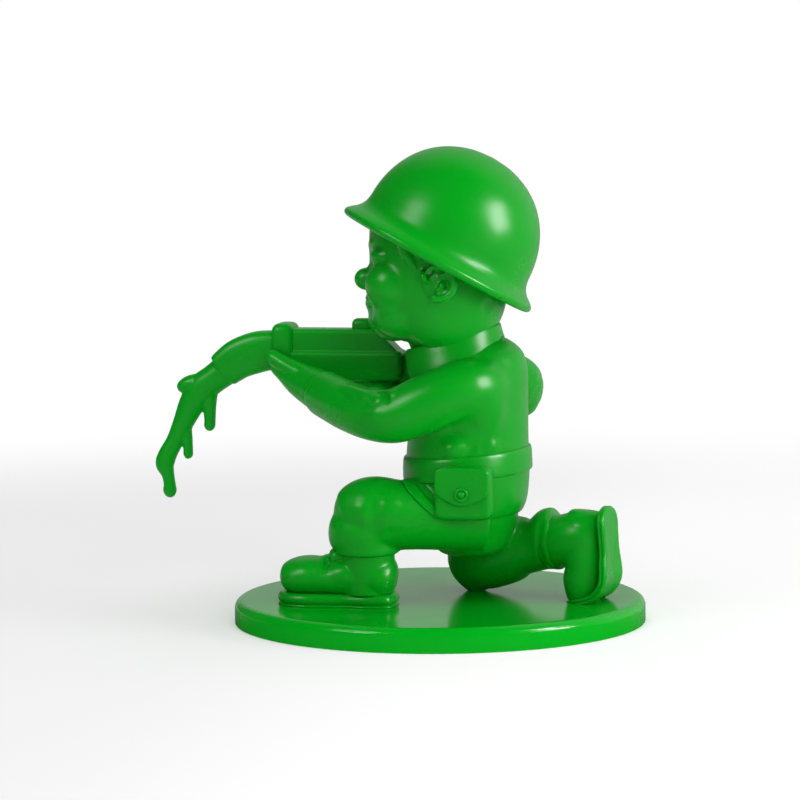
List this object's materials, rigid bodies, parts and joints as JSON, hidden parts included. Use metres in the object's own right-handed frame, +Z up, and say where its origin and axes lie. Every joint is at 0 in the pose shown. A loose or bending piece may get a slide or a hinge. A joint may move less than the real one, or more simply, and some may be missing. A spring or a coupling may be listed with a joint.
{
  "type": "toy soldier figure",
  "caption": "Kneeling toy soldier in a rim helmet on a round stand, aiming a rifle whose barrel has softened and drips. The head turns at the collar.",
  "frame": {"origin": "centre of the stand's flat underside, where it rests", "axes": "+Z up from the stand, -X the way the figure faces and aims, -Y its left side, +X towards the rear boot"},
  "size_m": [0.1809, 0.145, 0.1673],
  "materials": {
    "green_plastic": "smooth glossy moulded plastic, one green all over",
    "screw_steel": "zinc plated"
  },
  "bodies": {
    "figure": {"base": "green_plastic", "base_cover": "green_plastic", "cover_screws": "screw_steel", "foot_screws": "screw_steel", "left_sole": "green_plastic", "left_boot": "green_plastic", "left_leg": "green_plastic", "right_sole": "green_plastic", "right_boot": "green_plastic", "right_leg": "green_plastic", "hips": "green_plastic", "hip_pins": "green_plastic", "jacket": "green_plastic", "shoulder_pins": "green_plastic", "belt": "green_plastic", "belt_buckle": "green_plastic", "collar": "green_plastic", "pouch": "green_plastic", "pouch_flap": "green_plastic", "pouch_stud": "green_plastic", "left_sleeve": "green_plastic", "left_hand": "green_plastic", "right_sleeve": "green_plastic", "right_hand": "green_plastic", "rifle_body": "green_plastic", "rifle_stock": "green_plastic", "barrel_band": "green_plastic", "rear_sight": "green_plastic", "barrel": "green_plastic"},
    "head": {"neck_plug": "green_plastic", "head": "green_plastic", "helmet": "green_plastic"}
  },
  "joints": [
    {"name": "head_turn", "type": "hinge", "parent": "figure", "child": "head", "pos_m": [0.0044, 0, 0.1009], "axis": [-0.2807, 0, 0.9598], "range_deg": [-60, 60]}
  ]
}
